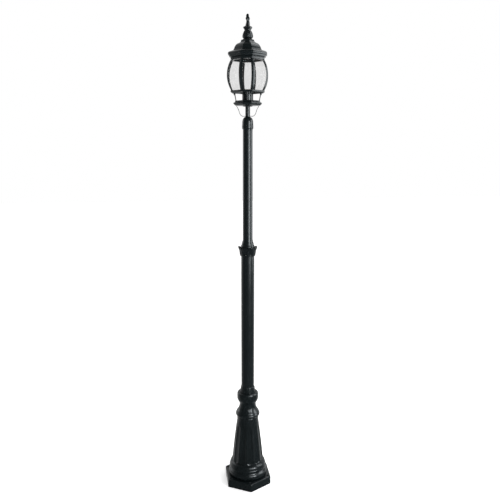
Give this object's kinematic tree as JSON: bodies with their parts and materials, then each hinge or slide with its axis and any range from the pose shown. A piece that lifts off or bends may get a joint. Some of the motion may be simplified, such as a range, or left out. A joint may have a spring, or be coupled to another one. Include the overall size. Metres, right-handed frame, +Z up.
{
  "type": "post-top garden lantern",
  "caption": "Tall slender lamp post on a six-sided foot with fluted base, and an eight-sided barrel-shaped glazed lantern with ogee roof and spire.",
  "frame": {"origin": "centre of the foot's underside, on the ground", "axes": "+Z up along the post; a corner of the six-sided foot points to -Y, the side seen first; +X to the viewer's right"},
  "size_m": [0.2246, 0.2594, 2.35],
  "materials": {
    "painted_casting": "satin",
    "plated_steel": "satin",
    "clear_glass": "gloss",
    "porcelain": "gloss",
    "rubber_washer": "matte"
  },
  "bodies": {
    "post": {"foot_casting": "painted_casting", "fluted_cone": "painted_casting", "neck_vase": "painted_casting", "collar_drum": "painted_casting", "leaf_collar": "painted_casting", "lower_tube": "painted_casting", "coupling_cup": "painted_casting", "coupling_cone": "painted_casting", "joint_sleeve": "plated_steel", "upper_tube": "painted_casting", "coupling_screw_1": "plated_steel", "coupling_screw_2": "plated_steel", "coupling_screw_3": "plated_steel"},
    "head": {"post_cap": "painted_casting", "stem_tube": "painted_casting", "saucer_hub": "painted_casting", "saucer": "painted_casting", "holder_cup": "painted_casting", "leg_1": "painted_casting", "leg_2": "painted_casting", "leg_3": "painted_casting", "leg_4": "painted_casting", "scroll_1": "painted_casting", "scroll_2": "painted_casting", "scroll_3": "painted_casting", "scroll_4": "painted_casting", "bottom_rim": "painted_casting", "rib_1": "painted_casting", "rib_2": "painted_casting", "rib_3": "painted_casting", "rib_4": "painted_casting", "rib_5": "painted_casting", "rib_6": "painted_casting", "rib_7": "painted_casting", "rib_8": "painted_casting", "top_frame": "painted_casting", "crossbar": "painted_casting", "cap_screw_1": "plated_steel", "cap_screw_2": "plated_steel", "cap_screw_3": "plated_steel", "roof_stud": "plated_steel", "pane_narrow_1": "clear_glass", "pane_narrow_2": "clear_glass", "pane_narrow_3": "clear_glass", "pane_narrow_4": "clear_glass", "pane_wide_1": "clear_glass", "pane_wide_2": "clear_glass", "pane_wide_3": "clear_glass", "pane_wide_4": "clear_glass", "lamp_holder": "porcelain"},
    "roof": {"roof": "painted_casting", "roof_disc": "painted_casting", "finial_washer": "rubber_washer"},
    "finial": {"finial": "painted_casting"}
  },
  "joints": [
    {"name": "head_turn", "type": "hinge", "parent": "post", "child": "head", "pos_m": [0, 0, 1.86], "axis": [0, 0, 1], "range_deg": [-180, 180]},
    {"name": "roof_lift", "type": "slide", "parent": "head", "child": "roof", "axis": [0, 0, 1], "range_m": [0, 0.12]},
    {"name": "finial_turn", "type": "hinge", "parent": "roof", "child": "finial", "pos_m": [0, 0, 2.26], "axis": [0, 0, 1], "continuous": true}
  ]
}
